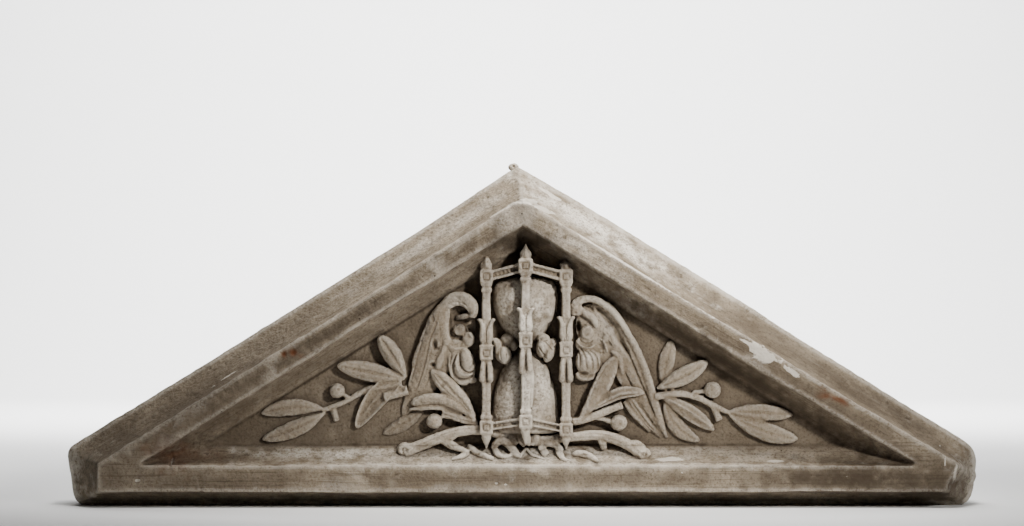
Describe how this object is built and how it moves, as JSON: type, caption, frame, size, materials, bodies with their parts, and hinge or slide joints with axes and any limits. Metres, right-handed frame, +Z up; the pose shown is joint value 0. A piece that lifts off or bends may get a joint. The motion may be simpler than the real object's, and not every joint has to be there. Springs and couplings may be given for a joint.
{
  "type": "pediment section",
  "caption": "Low gabled pediment block with hollow mouldings and a sunk panel carved with a winged hourglass, olive sprays, lopped branches and a ribbon.",
  "frame": {"origin": "middle of the underside, at the middle of the block's length and depth", "axes": "+X along the length to the right, +Z up, and the carved front faces -Y"},
  "size_m": [1.2, 0.16, 0.4502],
  "materials": {
    "stone": "weathered cast stone, matt beige-grey with pinholes, brown stains, dust in the hollows and pale chipped edges"
  },
  "bodies": {
    "root": {"pediment": "stone"}
  },
  "joints": []
}
